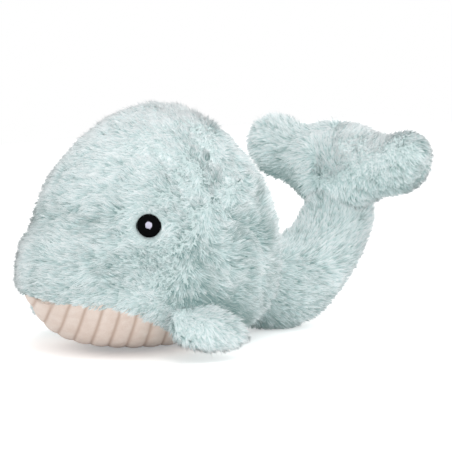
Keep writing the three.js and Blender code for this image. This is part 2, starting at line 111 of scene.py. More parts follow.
sheet = bmesh.new()
bmesh.ops.create_grid(sheet, x_segments=2, y_segments=2, size=1.1)
mesh = bpy.data.meshes.new("paper_floor")
sheet.to_mesh(mesh)
sheet.free()
floor = bpy.data.objects.new("paper_floor", mesh)
scene.collection.objects.link(floor)
paper, tree = blank_material("matt_paper")
plain = put(tree, "ShaderNodeBsdfDiffuse", {"Color": linear(0xF4F4F4)})
glow = put(tree, "ShaderNodeMath", {"operation": "MULTIPLY", 1: 0.34}, _0=seen_share(tree))
glow = put(tree, "ShaderNodeEmission", {"Color": (1, 1, 1, 1)}, Strength=glow.outputs[0])
finish_material(tree, put(tree, "ShaderNodeAddShader", {}, _0=plain.outputs[0], _1=glow.outputs[0]))
floor.data.materials.append(paper)

scene.world = bpy.data.worlds.new("studio")
scene.world.use_nodes = True
tree = scene.world.node_tree
tree.nodes.clear()
level = put(tree, "ShaderNodeMapRange", {"To Min": 0.9, "To Max": 1.0}, Value=seen_share(tree))
sky = put(tree, "ShaderNodeBackground", {"Color": (1, 1, 1, 1)}, Strength=level.outputs[0])
put(tree, "ShaderNodeOutputWorld", Surface=sky.outputs[0])

lamp_target, lamp_distance = Vector((0, 0, 0.08)), 1.8
for name, azimuth, height, watts, width in (
    ("key_lamp", -25, 68, 8, 1.3),
    ("fill_lamp", 40, 30, 2, 1.6),
    ("side_lamp", 110, 45, 4.5, 1.3),
):
    lamp = bpy.data.objects.new(name, bpy.data.lights.new(name, "AREA"))
    lamp.data.shape, lamp.data.size, lamp.data.energy = "DISK", width, watts
    away = way_out(azimuth, height)
    lamp.location = lamp_target + away * lamp_distance
    lamp.rotation_mode = "QUATERNION"
    lamp.rotation_quaternion = away.to_track_quat("Z", "Y")
    scene.collection.objects.link(lamp)
scene.view_settings.view_transform = "Standard"

# Body fur
# Two side panels of long-pile polyester faux fur, sewn edge to edge over the crown and back and along the
# belly. The pile is about 12 mm long, lies mostly forward on the face and backward on the flank, and
# stands up in patches where the darker roots show and painted shade deepens them.

body_centre_x = -0.046377
body_half_length, body_half_width = 0.092, 0.071
girth_height, dome_height, belly_depth = 0.055, 0.109, 0.0555
dome_lean = 0.003  # the dome sits this far behind the girth
dome_power, belly_power, chin_power = 1.88, 2.3, 0.8
plan_power, snout_power, snout_reach = 2.1, 0.45, 0.004
snout_height, snout_rise, snout_fall = 0.047, 0.031, 0.017

# The seam between fur and belly: shares of the way along it, and of its height at the snout.
seam_shape = [(0, 1), (0.13, 1), (0.31, 0.88), (0.39, 0.72), (0.57, 0.42), (0.8, 0.22), (1, 0.08)]
seam_front, seam_rear, seam_length, seam_height = 0.1, 0.048, 0.148, 0.038


def seam_level(x):
    """The height of the seam between fur and belly: a smooth curve through the places above."""
    at, level = np.transpose(seam_shape)
    slope = np.zeros(len(at))
    slope[1:-1] = (level[2:] - level[:-2]) / (at[2:] - at[:-2])
    slope[-1] = (level[-1] - level[-2]) / (at[-1] - at[-2])
    share = (x - body_centre_x + seam_front) / seam_length
    k = np.clip(np.searchsorted(at, share) - 1, 0, len(at) - 2)
    span = at[k + 1] - at[k]
    t = (share - at[k]) / span
    start = (2 * t**3 - 3 * t**2 + 1) * level[k] + (t**3 - 2 * t**2 + t) * slope[k] * span
    end = (3 * t**2 - 2 * t**3) * level[k + 1] + (t**3 - t**2) * slope[k + 1] * span
    return seam_height * (start + end)


def smooth_step(value, low, high):
    share = np.clip((value - low) / (high - low), 0, 1)
    return share * share * (3 - 2 * share)


def body_measure(points):
    """1 on the stuffed body's surface, and less inside it."""
    x, y, z = (points - np.array([body_centre_x, 0, 0])).T
    above = z > girth_height
    reach = np.where(above, dome_height, belly_depth)
    along = x - dome_lean * smooth_step(z, 0.035, 0.1)
    chin = smooth_step(-along, 0, body_half_length)
    power = np.where(above, dome_power, belly_power + chin_power * chin)
    snout_half = np.where(z > snout_height, snout_rise, snout_fall)
    snout = np.exp(-((np.abs(z - snout_height) / snout_half) ** 3)) * (along < 0)
    around = plan_power + snout_power * snout
    plan = (np.abs(along) / (body_half_length + snout_reach * snout)) ** around
    plan = plan + (np.abs(y) / body_half_width) ** around
    return plan ** (power / around) + (np.abs(z - girth_height) / reach) ** power


def body_surface(starts, ways):
    """Where rays from inside the body come out of it."""
    near, far = np.zeros(len(starts)), np.full(len(starts), 0.2)
    for _ in range(36):
        middle = (near + far) / 2
        inside = body_measure(starts + ways * middle[:, None]) < 1
        near, far = np.where(inside, middle, near), np.where(inside, far, middle)
    return starts + ways * near[:, None]


def ripple(points, pitch, seed):
    """A smooth value that wanders between about -1 and 1 over this distance."""
    chance = np.random.default_rng(seed)
    waves = chance.normal(size=(3, 7))
    waves *= 2 * math.pi / pitch / np.linalg.norm(waves, axis=0) * chance.uniform(0.7, 1.4, 7)
    return np.sin(points @ waves + chance.uniform(0, 2 * math.pi, 7)).sum(1) / 2.6


def wander(points, pitch, seed):
    """Three ripples for each point, as a vector."""
    return np.stack([ripple(points, pitch, seed + i) for i in range(3)], 1)


def normalised(vectors):
    return vectors / np.maximum(np.linalg.norm(vectors, axis=1), 1e-9)[:, None]


def merged(*nodes):
    """The CAD nodes' faces in one bmesh, joined where their corners meet."""
    shape = bmesh.new()
    for node in nodes:
        shape.from_mesh(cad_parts[node].data)
    bmesh.ops.remove_doubles(shape, verts=shape.verts, dist=1e-6)
    return shape


solids = {name: merged(name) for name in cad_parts}


def evened(name, nodes, voxel, passes, thinner=0.0, shaped=None):
    """An object with the form of these CAD nodes: an even mesh, with the facets smoothed out of it, drawn
    in by as much as thinner says and then moved to where shaped(points) puts it."""
    shape = merged(*nodes)
    mesh = bpy.data.meshes.new(name)
    shape.to_mesh(mesh)
    shape.free()
    piece = bpy.data.objects.new(name, mesh)
    scene.collection.objects.link(piece)
    even = piece.modifiers.new("even", "REMESH")
    even.mode, even.voxel_size = "VOXEL", voxel
    soft = piece.modifiers.new("soft", "SMOOTH")
    soft.factor, soft.iterations = 0.5, passes
    trim = piece.modifiers.new("trim", "DISPLACE")
    trim.mid_level, trim.strength = 0, -thinner
    finished = bpy.data.meshes.new_from_object(piece.evaluated_get(bpy.context.evaluated_depsgraph_get()))
    piece.modifiers.clear()
    piece.data = finished
    finished.name = name
    if shaped:
        places = np.empty(len(finished.vertices) * 3)
        finished.vertices.foreach_get("co", places)
        finished.vertices.foreach_set("co", shaped(places.reshape(-1, 3)).ravel())
        finished.update()
    return piece


cloth_trim = 0.0008  # the backing lies this far inside its CAD panel, in the pile


def sewn_piece(name, node, body, material, voxel=0.002, passes=5, thinner=0.0, shaped=None):
    """Cloth or filling in the place of a CAD node."""
    piece = evened(name, [node], voxel, passes, thinner, shaped)
    piece.data.shade_smooth()
    piece.data.materials.clear()
    piece.data.materials.append(material)
    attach(piece, body)
    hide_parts(node)


def hair_shape(widest_at=0.45):
    """One hair as a closed spindle with three sides: corners as (across, up, along), and its triangles."""
    hair = bmesh.new()
    bmesh.ops.create_cone(
        hair,
        cap_ends=True,
        segments=3,
        radius1=1,
        radius2=0,
        depth=1 - widest_at,
        matrix=Matrix.Translation((0, 0, (1 + widest_at) / 2)),
    )
    bmesh.ops.remove_doubles(hair, verts=hair.verts, dist=1e-4)
    cap = min(hair.faces, key=lambda face: face.calc_center_median().z)
    foot = bmesh.ops.poke(hair, faces=[cap])["verts"][0]
    foot.co = (0, 0, 0)
    bmesh.ops.triangulate(hair, faces=hair.faces)
    bmesh.ops.recalc_face_normals(hair, faces=hair.faces)
    corners = np.array([tuple(v.co) for v in hair.verts])
    faces = np.array([[v.index for v in face.verts] for face in hair.faces])
    hair.free()
    return corners, faces


hair_corners, hair_faces = hair_shape()


def coat_form(nodes, voxel=0.0025, passes=6, sink=0.0015, shaped=None):
    """The surface that pile grows from, a little inside these CAD nodes taken together: its points, their
    normals and its triangles."""
    form = evened("form", nodes, voxel, passes, shaped=shaped)
    mesh = form.data
    places, normals = np.empty(len(mesh.vertices) * 3), np.empty(len(mesh.vertices) * 3)
    mesh.vertices.foreach_get("co", places)
    mesh.vertices.foreach_get("normal", normals)
    mesh.calc_loop_triangles()
    triangles = np.empty(len(mesh.loop_triangles) * 3, np.int32)
    mesh.loop_triangles.foreach_get("vertices", triangles)
    bpy.data.objects.remove(form)
    bpy.data.meshes.remove(mesh)
    places, normals = places.reshape(-1, 3), normals.reshape(-1, 3)
    return places - sink * normals, normals, triangles.reshape(-1, 3)


def open_faces(form, clear_of, gap=0.0032):
    """Which of the form's faces lie clear of these CAD nodes, so that pile can grow there."""
    places, _, triangles = form
    near = [BVHTree.FromBMesh(solids[node]) for node in clear_of]
    centres = places[triangles].mean(1).tolist()
    return np.array([all(tree.find_nearest(c, gap)[0] is None for tree in near) for c in centres])


hairs_per_mm2, hair_radius, lock_mm2 = 2.2, 0.00022, 3.4
root_sink = 0.0008  # each hair starts this far inside the form
lowest_hair = 0.0004  # above the floor that the toy rests on
raised_share, guard_share, dark_share = 0.3, 0.12, 0.22


def lay_fur(name, form, faces, body, comb, seed, long=0.0122, from_above=0.45):
    """A coat of single hairs on these faces of a form. comb(points, normals) gives the way that the pile
    lies, how far it stands up from 0 to 1, how light it is from 0 to 1, painted light and shade included,
    and its length as a share of the longest; a lightness over 1 makes the roots pale too. Hairs gather in
    small locks, whose middle hairs lie on top and are painted lighter, as if they caught the light, with
    painted shade at the locks' edges, and one in eight is a guard hair that stands out of them."""
    chance = np.random.default_rng(seed)
    places, normals, triangles = form
    triangles = triangles[faces]
    edges = places[triangles]
    areas = np.linalg.norm(np.cross(edges[:, 1] - edges[:, 0], edges[:, 2] - edges[:, 0]), axis=1) / 2

    def scattered(count):
        face = chance.choice(len(areas), count, p=areas / areas.sum())
        a, b = np.sqrt(chance.random(count)), chance.random(count)
        weights = np.stack([1 - a, a * (1 - b), a * b], 1)[:, :, None]
        points = (places[triangles[face]] * weights).sum(1)
        return points, normalised((normals[triangles[face]] * weights).sum(1))

    def laid(roots, ups, ways, stand, length):
        """The middle and the tip of hairs that bend over as they rise."""
        flat = normalised(ways - (ways * ups).sum(1)[:, None] * ups)
        lift = np.radians(13 + 44 * stand)[:, None]
        half = length[:, None] / 2
        steep, shallow = lift + np.radians(20), lift - np.radians(14)
        middle = roots + half * (flat * np.cos(steep) + ups * np.sin(steep))
        return middle, middle + half * (flat * np.cos(shallow) + ups * np.sin(shallow))

    total = areas.sum() * 1e6
    centres, centre_ups = scattered(int(total / lock_mm2))
    ways, stand, light, share = comb(centres, centre_ups)
    ways = normalised(ways) + chance.normal(0, 0.11, centres.shape)
    light = light + chance.normal(0, 1, len(centres)) * (0.09 + 0.16 * stand)
    raised = chance.random(len(centres)) < raised_share
    lifted = 0.6 * raised * np.clip(0.3 + stand, 0, 1)
    stand = np.clip(stand + chance.normal(0, 0.1, len(centres)) + lifted, 0, 1)
    length = long * share * chance.uniform(0.86, 1.1, len(centres)) * (1 - 0.2 * stand)
    lock_middle, lock_tip = laid(centres, centre_ups, ways, stand, length)

    count = int(total * hairs_per_mm2)
    roots, ups = scattered(count)
    found = KDTree(len(centres))
    for i, place in enumerate(centres.tolist()):
        found.insert(place, i)
    found.balance()
    nearest = [found.find(place) for place in roots.tolist()]
    lock = np.array([index for _, index, _ in nearest])
    lock_radius = math.sqrt(lock_mm2 * 1e-6 / math.pi)
    aside = np.array([distance for _, _, distance in nearest]) / lock_radius
    ways = ways[lock] + chance.normal(0, 0.13, roots.shape)
    guard = chance.random(count) < guard_share
    own = np.clip(stand[lock] + chance.normal(0, 0.14, count) + 0.5 * guard, 0, 1)
    middle, tip = laid(roots, ups, ways, own, length[lock] * chance.uniform(0.72, 1.12, count))
    middle += (lock_middle[lock] - middle) * 0.2
    gathered = np.where(guard, 0.05, chance.uniform(0.3, 0.8, count) + 0.15 * raised[lock])
    tip += (lock_tip[lock] - tip) * gathered[:, None]
    tip[:, 2] = np.maximum(tip[:, 2], lowest_hair)
    middle[:, 2] = np.maximum(middle[:, 2], lowest_hair)
    roots = roots - ups * root_sink
    # Painted shade at each lock's edge and painted light in its middle, besides a tone that differs at
    # random.
    light = light[lock] - 0.35 * (aside - 0.67) + chance.normal(0, 1, count) * (0.12 + 0.14 * own)
    light = 0.2 + 0.8 * (light + 0.18 - 0.45 * (chance.random(count) < dark_share))
    pale = np.clip(light - 1, 0, 0.5)[:, None]
    light = np.clip(light, 0.02, 0.98)

    heading = normalised(tip - roots)
    across = normalised(np.cross(heading, ups))
    upward = np.cross(heading, across)
    turn = chance.uniform(0, 2 * math.pi, count)[:, None]
    across, upward = (
        across * np.cos(turn) + upward * np.sin(turn),
        upward * np.cos(turn) - across * np.sin(turn),
    )
    width = hair_radius * chance.uniform(0.75, 1.2, count)[:, None]
    corners = []
    for out, up, along in hair_corners:
        spine = roots * (1 - along) ** 2 + middle * 2 * along * (1 - along) + tip * along**2
        corners.append(spine + width * (across * out + upward * up))
    corners = np.stack(corners, 1).reshape(-1, 3)
    faces = (hair_faces[None] + np.arange(count)[:, None, None] * len(hair_corners)).reshape(-1, 3)
    coat = bpy.data.meshes.new(name)
    coat.vertices.add(len(corners))
    coat.vertices.foreach_set("co", corners.ravel())
    coat.loops.add(faces.size)
    coat.loops.foreach_set("vertex_index", faces.ravel().astype(np.int32))
    coat.polygons.add(len(faces))
    coat.polygons.foreach_set("loop_start", np.arange(0, faces.size, 3, dtype=np.int32))
    coat.update(calc_edges=True)
    # The map has the hair's lightness, painted light and shade included, across and the way from root to tip
    # up, so it reads as a small chart.
    out, up, along = hair_corners.T[:, None]
    chart = np.empty((count, len(hair_corners), 2))
    chart[:, :, 0] = 0.02 + 0.96 * light[:, None] + 0.002 * out
    chart[:, :, 1] = 0.02 + 0.96 * (pale + (1 - pale) * along) + 0.001 * up
    layer = coat.uv_layers.new(name="OFBake")
    layer.uv.foreach_set("vector", chart[:, hair_faces.ravel()].ravel())
    coat.shade_smooth()
    # Each hair takes most of its shading from the cloth under it, as light does that passes through pile.
    rounded = across[:, None, :] * out[:, :, None] + upward[:, None, :] * up[:, :, None]
    shading = normalised((ups[:, None, :] + 1.6 * rounded + np.array([0, 0, from_above])).reshape(-1, 3))
    coat.normals_split_custom_set_from_vertices(shading.tolist())
    coat.materials.append(pile)
    piece = bpy.data.objects.new(name, coat)
    # Real pile is far finer and lets light through, so only the cloth under it casts a shadow.
    piece.visible_shadow = piece.visible_diffuse = False
    scene.collection.objects.link(piece)
    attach(piece, body)


def mixed(tree, low, high, share):
    """A colour between these two, by a share from 0 to 1."""
    return put(tree, "ShaderNodeMix", {"data_type": "RGBA", 6: low, 7: high}, _0=share).outputs[2]


def bumped(tree, height, strength, distance):
    settings = {"Strength": strength, "Distance": distance}
    return put(tree, "ShaderNodeBump", settings, Height=height).outputs[0]


def finish_surface(tree, settings, **links):
    finish_material(tree, put(tree, "ShaderNodeBsdfPrincipled", settings, **links))


# Faux fur is a knitted backing with acrylic or polyester pile. The roots are greyer, and the tips pale
# and a little glossy; the dark roots also stand in for the shade deep in the pile, as painted shade, since
# the hairs cast no shadow. The shade mix paints each hair's light and shade from the combs, so a patch
# that stands up is painted darker than one that is brushed flat.
pile, tree = blank_material("polyester_pile")
chart = put(tree, "ShaderNodeUVMap", {"uv_map": "OFBake"})
chart = put(tree, "ShaderNodeSeparateXYZ", {}, Vector=chart.outputs[0])
along = put(tree, "ShaderNodeValToRGB", {}, Fac=chart.outputs["Y"])
ramp = along.color_ramp.elements
ramp[0].position, ramp[0].color = 0.1, linear(0x7FA5A2)
ramp[1].position, ramp[1].color = 0.9, linear(0xF3FAFA)
ramp.new(0.5).color = linear(0xC6DCDC)
# Painted light and shade: the chart's lightness from the combs darkens or lightens each hair.
shade = mixed(tree, (0.3, 0.39, 0.38, 1), (1.095, 1.07, 1.08, 1), chart.outputs["X"])
tint = put(tree, "ShaderNodeVectorMath", {"operation": "MULTIPLY"}, _0=along.outputs[0], _1=shade)
finish_surface(tree, {"Roughness": 0.8, "Specular IOR Level": 0.1}, Base_Color=tint.outputs[0])

# The backing is a dense knit of fine yarn, about 1 mm from loop to loop, in the same dye.
backing, tree = blank_material("knitted_backing")
place = put(tree, "ShaderNodeTexCoord")
knit = put(tree, "ShaderNodeTexVoronoi", {"Scale": 1000.0}, Vector=place.outputs["Object"])
loops = mixed(tree, linear(0xD6E5E5), linear(0xBACFCE), knit.outputs["Distance"])
bump = bumped(tree, knit.outputs["Distance"], strength=0.4, distance=0.0003)
finish_surface(tree, {"Roughness": 0.9}, Base_Color=loops, Normal=bump)

eye_radius, eye_forward, eye_height = 0.0086, 0.0445, 0.091
eye_cores = np.array([[body_centre_x - eye_forward, 0, eye_height]] * 2)
eye_centres = body_surface(eye_cores, np.array([[0, -1.0, 0], [0, 1.0, 0]]))
# Patches where the pile stands up, or lies flatter where the sign is minus: side and height from the body's
# middle, reach, how much, and how much painted shade they get besides, which is most in the fold above the
# flipper, where the flipper shades the body.
standing_and_shaded_patches = [
    (-0.072, 0.097, 0.009, 0.3, 0.05),
    (-0.061, 0.089, 0.010, 0.5, 0.05),
    (-0.070, 0.066, 0.009, 0.35, 0.0),
    (-0.072, 0.053, 0.010, 0.35, 0.05),
    (-0.056, 0.068, 0.009, 0.4, 0.0),
    (-0.040, 0.070, 0.011, 0.6, 0.2),
    (-0.033, 0.057, 0.010, 0.5, 0.15),
    (-0.027, 0.098, 0.007, 0.4, 0.1),
    (-0.058, 0.107, 0.012, -0.2, -0.06),
    (-0.016, 0.075, 0.012, 0.4, 0.0),
    (-0.027, 0.119, 0.008, -0.2, -0.08),
    (-0.014, 0.123, 0.011, 0.4, 0.05),
    (-0.020, 0.104, 0.009, 0.3, 0.0),
    (0.008, 0.131, 0.012, 0.4, 0.0),
    (0.014, 0.113, 0.011, 0.15, -0.05),
    (0.021, 0.090, 0.011, 0.4, 0.0),
    (0.016, 0.066, 0.012, 0.1, -0.1),
    (0.050, 0.100, 0.010, 0.4, 0.15),
    (0.047, 0.082, 0.012, 0.5, 0.2),
    (0.054, 0.034, 0.012, 0.4, 0.15),
    (-0.031, 0.042, 0.006, 0.6, 0.5),
    (-0.020, 0.043, 0.006, 0.6, 0.65),
    (-0.009, 0.041, 0.006, 0.6, 0.75),
    (0.002, 0.037, 0.006, 0.6, 0.65),
    (0.014, 0.031, 0.008, 0.6, 0.45),
    (0.032, 0.018, 0.011, 0.4, 0.45),
]
hem_rear = 0.045  # behind this the seam runs under the body, and its pile isn't trimmed


def body_comb(points, normals):
    x, y, z = points[:, 0] - body_centre_x, points[:, 1], points[:, 2]
    face = smooth_step(-x, -0.01, 0.04)
    crown = 0.05 * smooth_step(z, 0.08, 0.12)
    turn = math.pi * (1 + smooth_step(x - crown, -0.035, 0.014))
    turn = turn + (0.7 - 0.45 * face) * ripple(points, 0.045, 11)
    turn = turn + (0.6 - 0.25 * face) * ripple(points, 0.019, 12) + 0.22 * ripple(points, 0.009, 17)
    # Level on the cloth, and towards the nose, where the pile is brushed over to the right cheek.
    cheek = np.tanh((y - 0.036 * face) / 0.014)
    level = np.stack([-np.abs(normals[:, 1]) - 0.3, cheek * normals[:, 0], 0 * x], 1)
    ways = normalised(level) * -np.cos(turn)[:, None] + np.array([0, 0, 1.0]) * np.sin(turn)[:, None]
    # Near the seam with the belly the pile is shorter, and on the flank it hangs over it a little.
    hem = np.exp(-np.clip(z - seam_level(points[:, 0]), 0, 1) / 0.005) * (x < hem_rear)
    ways = ways + np.array([0, 0, -0.9]) * (hem * (1 - 0.6 * face))[:, None]
    stand = 0.2 + (0.2 - 0.1 * face) * np.clip(ripple(points, 0.04, 13), -1, 1)
    stand = stand + (0.16 - 0.08 * face) * ripple(points, 0.012, 14)
    stand = stand - 0.25 * smooth_step(z, 0.11, 0.145) - 0.1 * smooth_step(-x, 0.02, 0.07)
    # Painted shade low at the rear, beside the tail.
    painted_shade = 0.5 * smooth_step(x, 0.055, 0.085) * smooth_step(-z, -0.065, -0.03)
    for side, height, reach, more, darker in standing_and_shaded_patches:
        near = np.exp(-((x - side) ** 2 + (z - height) ** 2) / reach**2)
        stand = stand + 0.9 * more * near * (1 + 0.5 * ripple(points, 0.008, 18))
        painted_shade = painted_shade + darker * near
    # It is shorter at that seam and over the crown, and flows round each eye, short and flat.
    share = (1 - 0.6 * hem) * (1 - 0.2 * smooth_step(z, 0.1, 0.14))
    for centre in eye_centres:
        off = points - centre
        gap = np.linalg.norm(off, axis=1)
        off = normalised(off)
        toward = np.minimum((ways * off).sum(1), 0)
        beside = np.exp(-((np.maximum(gap - eye_radius, 0) / 0.0065) ** 2))
        rim = np.exp(-((np.maximum(gap - eye_radius, 0) / 0.002) ** 2))
        ways = ways + off * (0.7 * rim - 1.15 * toward * beside)[:, None]
        stand = stand * (1 - 0.7 * beside)
        share = share * (1 - 0.38 * beside - 0.25 * rim)
    stand = np.clip(stand, 0, 1)
    # Painted light makes it palest on the crown and behind it. Painted shade darkens it where it stands up,
    # in the patches and low on the flank, and it is duller on the face.
    light = 0.93 - 0.85 * stand - painted_shade + 0.07 * ripple(points, 0.03, 15) + 0.16 * smooth_step(z, 0.11, 0.145)
    behind = smooth_step(x, 0.0, 0.04) * smooth_step(z, 0.07, 0.1) * smooth_step(-z, -0.135, -0.115)
    top = smooth_step(x, -0.03, 0.02) * smooth_step(z, 0.145, 0.157)
    light = light + 0.12 * behind + 0.6 * top - 0.06 * smooth_step(-x, 0.02, 0.07)
    low = smooth_step(x, -0.05, 0.0) * smooth_step(-z, -0.11, -0.08) * smooth_step(-x, -0.07, -0.03)
    light = light - 0.3 * low
    # The pile fans out on the tightly filled crown and back, and where it is brushed over to the right.
    fan = np.maximum(0.6 * smooth_step(z, 0.13, 0.155), smooth_step(x, 0.07, 0.09))
    brushed = np.maximum(smooth_step(z, 0.06, 0.09), smooth_step(-x, 0.05, 0.07))
    fan = np.maximum(fan, smooth_step(y, 0.0, 0.025) * brushed)
    stand = np.maximum(stand, 0.5 * fan)
    return ways, stand, light, share


brow_forward, brow_height, brow_dent = 0.082, 0.086, 0.0055
snout_dent, eye_dent, crown_rise, fill_ripple = 0.0022, 0.0012, 0.002, 0.0007


def front_dent(points):
    """How far the filling falls short at the front: all over the snout, and most in the brow's hollow."""
    x, y, z = points[:, 0] - body_centre_x, points[:, 1], points[:, 2]
    reach = np.where(z > brow_height, 0.028, 0.009)
    brow = ((x + brow_forward) / 0.024) ** 2 + ((z - brow_height) / reach) ** 2 + (y / 0.07) ** 2
    return snout_dent * smooth_step(-x, 0.06, 0.085) + brow_dent * np.exp(-brow)


def body_dents(points):
    """Where the eyes' stitching draws the fur in, the snout, the full crown behind it, and the soft
    unevenness of hand filling."""
    centre = np.array([body_centre_x, 0, 0.06])
    out = normalised(points - centre)
    x, z = points[:, 0] - body_centre_x, points[:, 2]
    depth = fill_ripple * ripple(points, 0.06, 16) - front_dent(points)
    for eye in eye_centres:
        depth = depth - eye_dent * np.exp(-((np.linalg.norm(points - eye, axis=1) / 0.016) ** 2))
    depth = depth + crown_rise * np.exp(-(((x - 0.032) / 0.035) ** 2) - ((z - 0.148) / 0.024) ** 2)
    return points + out * depth[:, None]


for side in ("left", "right"):
    name, node = f"body_side_{side}", f"body_side_panel_{side}"
    sewn_piece(name, node, "body", backing, thinner=cloth_trim, shaped=body_dents)
body_nodes = ("body_side_panel_left", "body_side_panel_right", "belly_panel", "body_stuffing")
body_form = coat_form(body_nodes, sink=0.002, shaped=body_dents)
furred = open_faces(body_form, ("tail_panel_left", "tail_panel_right"))
furred &= open_faces(body_form, ("eye_left_pupil", "eye_right_pupil"), gap=0.0015)
centres = body_form[0][body_form[2]].mean(1)
over_seam = centres[:, 2] > seam_level(centres[:, 0]) + 0.0006
furred &= over_seam | (centres[:, 0] > body_centre_x + seam_rear)
cuts = np.quantile(centres[furred][:, 0], (0, 0.33, 0.67, 1))
for side, sign in (("left", -1), ("right", 1)):
    for i, part in enumerate(("face", "flank", "back")):
        zone = furred & (centres[:, 1] * sign >= 0)
        zone &= (centres[:, 0] >= cuts[i]) & (centres[:, 0] <= cuts[i + 1])
        lay_fur(f"body_fur_{side}_{part}", body_form, zone, "body", body_comb, seed=20 + i + 5 * sign)

# Ribbed belly
# One panel of cut velour with wide soft ribs and narrow sewn grooves between them, which run aslant across
# the belly and lean forward as they go down. The fur is sewn over its edge.

rib_depth, rib_core_height = 0.0012, 0.034
rib_fade_from, rib_fade_to = 0.004, 0.046  # the ribs flatten out towards the rear seam
groove_share = 0.1  # of a rib's width, from the middle of a groove
panel_rear, panel_wall, panel_tuck = 0.0445, 0.0026, 0.003
nose_crowding = 0.7  # the rows lie closer together at the nose
# The rib below the body's middle, by its number, and how many there are to a metre along x, y and z.
middle_rib, ribs_per_metre = 6.54, np.array([65.3, -48.9, -25.7])


def rib_count(points):
    """Which rib a point is on, counted from the chin. The cloth is cut askew, so its ribs run aslant."""
    return middle_rib + (points - np.array([body_centre_x, 0, 0])) @ ribs_per_metre


def body_normal(points):
    step = 1e-5
    slopes = [body_measure(points + step * way) - body_measure(points - step * way) for way in np.eye(3)]
    return normalised(np.stack(slopes, 1))


def rib_points(core_x, turn):
    lean = math.radians(6)
    ways = np.stack([math.sin(lean) * np.cos(turn), np.sin(turn), -math.cos(lean) * np.cos(turn)], 1)
    cores = np.stack([core_x, 0 * core_x, 0 * core_x + rib_core_height], 1)
    return body_surface(cores, ways)


velour, tree = blank_material("cut_velour")
place = put(tree, "ShaderNodeTexCoord")
groove = put(tree, "ShaderNodeAttribute", {"attribute_name": "groove"})
brushed = put(tree, "ShaderNodeMapping", {"Scale": (1.0, 0.35, 1.0)}, Vector=place.outputs["Object"])
cloudy = put(tree, "ShaderNodeTexNoise", {"Scale": 190.0, "Detail": 3.0}, Vector=brushed.outputs[0])
nap = put(tree, "ShaderNodeTexNoise", {"Scale": 1300.0, "Detail": 2.0}, Vector=place.outputs["Object"])
joined = {"operation": "MULTIPLY_ADD", 1: 0.6}
mottle = put(tree, "ShaderNodeMath", joined, _0=nap.outputs["Fac"], _2=cloudy.outputs["Fac"])
mottle = put(tree, "ShaderNodeMapRange", {"From Min": 0.5, "From Max": 1.1}, Value=mottle.outputs[0])
crest = mixed(tree, linear(0xE1CDC0), linear(0xF0E2D8), mottle.outputs[0])
# The grooves are darker: partly the nap parted at the seam, partly painted shade in the recess.
in_groove = {"data_type": "RGBA", 7: linear(0xCAB2A3)}
cut = put(tree, "ShaderNodeMix", in_groove, _0=groove.outputs["Fac"], _6=crest)
bump = bumped(tree, mottle.outputs[0], strength=0.35, distance=0.0004)
looks = {"Roughness": 0.85, "Sheen Weight": 0.3, "Specular IOR Level": 0.2}
finish_surface(tree, looks, Base_Color=cut.outputs[2], Normal=bump)

panel = bmesh.new()
bmesh.ops.create_grid(panel, x_segments=210, y_segments=150, size=1)
flat = np.array([tuple(v.co) for v in panel.verts])
nose_core = np.array([[body_centre_x, 0, rib_core_height]])
nose_x = body_surface(nose_core, np.array([[-1.0, 0, 0]]))[0, 0]
rear_x = body_centre_x + panel_rear
rows, row = np.unique(flat[:, 0].round(6), return_inverse=True)
spread = np.expm1(nose_crowding * (rows + 1) / 2) / math.expm1(nose_crowding)
core_x = nose_x + (rear_x - nose_x) * spread
core_x[0] = nose_x + 1e-6
least, most = np.zeros(len(rows)), np.full(len(rows), math.pi)
for _ in range(24):
    middle = (least + most) / 2
    edge = rib_points(core_x, middle)
    below = edge[:, 2] < seam_level(edge[:, 0])
    least, most = np.where(below, middle, least), np.where(below, most, middle)
turn = flat[:, 1] * least[row]
points = rib_points(core_x[row], turn)
from_centre = core_x[row] - body_centre_x
rib = rib_count(points)
crests = np.abs(np.sin(math.pi * rib)) ** 0.6
fade = 1 - smooth_step(from_centre, rib_fade_from, rib_fade_to)
points -= body_normal(points) * (rib_depth * (1 - crests) * fade)[:, None]
tuck = panel_tuck * np.exp(-(seam_level(points[:, 0]) - points[:, 2]) / 0.006) + front_dent(points)
points -= body_normal(points) * tuck[:, None]
points[:, 2] = np.maximum(points[:, 2], 0.0001)
# How near each point lies to a groove's middle, which carries the grooves' colour and painted shade.
cut_depth = np.exp(-(((rib - rib.round()) / groove_share) ** 2)) * fade
groove_layer = panel.verts.layers.float.new("groove")
chart = panel.loops.layers.uv.new("OFBake")
for v, at, cut in zip(panel.verts, points.tolist(), cut_depth.tolist()):
    for loop in v.link_loops:
        loop[chart].uv = (0.01 + 0.98 * (v.co.x + 1) / 2, 0.01 + 0.98 * (v.co.y + 1) / 2)
    v[groove_layer] = cut
    v.co = at
bmesh.ops.remove_doubles(panel, verts=panel.verts, dist=2e-5)
bmesh.ops.recalc_face_normals(panel, faces=panel.faces)
if sum(face.normal.z * face.calc_area() for face in panel.faces) > 0:
    bmesh.ops.reverse_faces(panel, faces=panel.faces)
mesh = bpy.data.meshes.new("belly")
panel.to_mesh(mesh)
panel.free()
mesh.shade_smooth()
mesh.materials.append(velour)
belly = bpy.data.objects.new("belly", mesh)
scene.collection.objects.link(belly)
wall = belly.modifiers.new("wall", "SOLIDIFY")
wall.thickness, wall.offset = panel_wall, -1
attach(belly, "body")
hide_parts("belly_panel")

# Eyes
# Each is embroidered through the fur with black rayon thread, as close rows of satin stitches over a low
# pad, and a few pale stitches in the middle are the highlight. The pile parts round them.

